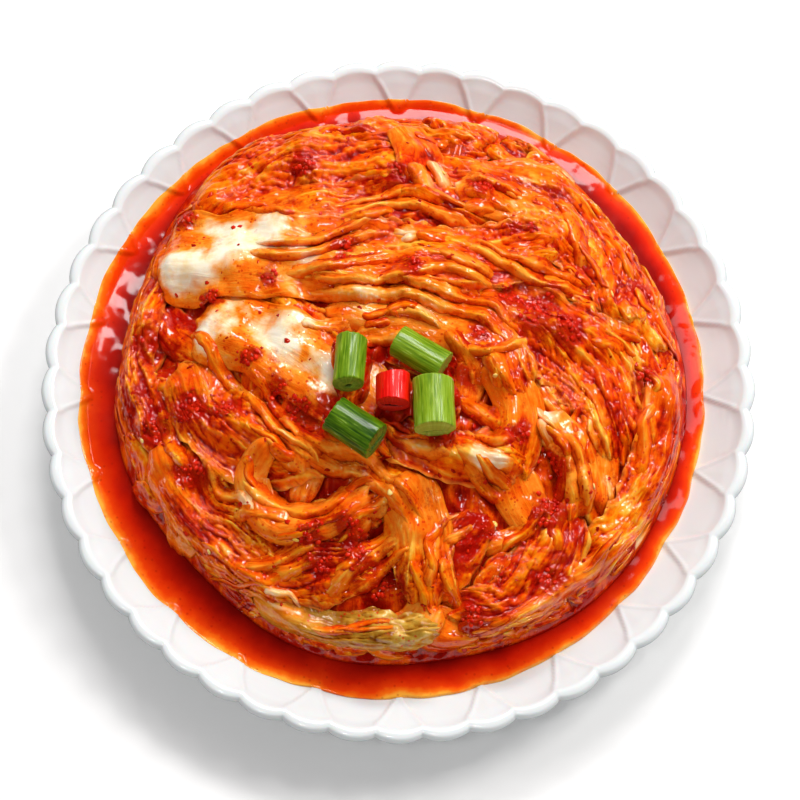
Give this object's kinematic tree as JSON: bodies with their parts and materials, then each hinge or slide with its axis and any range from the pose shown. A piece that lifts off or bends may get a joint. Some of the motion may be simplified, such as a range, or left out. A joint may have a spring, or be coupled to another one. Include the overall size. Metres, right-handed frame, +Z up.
{
  "type": "plate of kimchi",
  "caption": "Napa cabbage kimchi heaped in its red sauce on a scalloped white porcelain plate, with cut spring onion and red chili on top.",
  "frame": {"origin": "centre of the plate's foot, on the surface it stands on", "axes": "+Z up, +X to the diner's right, +Y away from the diner"},
  "size_m": [0.2212, 0.2212, 0.0668],
  "materials": {
    "porcelain": "smooth white glaze",
    "sauce": "wet red chili sauce, food",
    "kimchi": "wet pickled cabbage, food",
    "leaf": "wet cabbage leaf stained with chili, food",
    "pale_leaf": "wet yellow cabbage leaf, food",
    "stem": "wet white cabbage stem, food",
    "onion": "fresh spring onion, food",
    "chili": "fresh red chili, food"
  },
  "bodies": {
    "root": {"plate": "porcelain", "sauce": "sauce", "kimchi_heap": "kimchi", "leaf_left": "leaf", "leaf_back": "leaf", "leaf_back_lobe": "leaf", "leaf_back_inner": "leaf", "leaf_upper_right": "leaf", "leaf_shoulder": "leaf", "leaf_right": "leaf", "leaf_lower_right": "leaf", "leaf_under": "pale_leaf", "leaf_fan": "leaf", "leaf_left_shoulder": "leaf", "leaf_folded": "leaf", "leaf_lobe": "leaf", "leaf_pulled": "leaf", "leaf_stem_right": "stem", "leaf_strands": "leaf", "leaf_white_lower": "stem", "leaf_white_upper": "stem", "onion_a": "onion", "onion_b": "onion", "onion_c": "onion", "onion_d": "onion", "chili": "chili"}
  },
  "joints": []
}
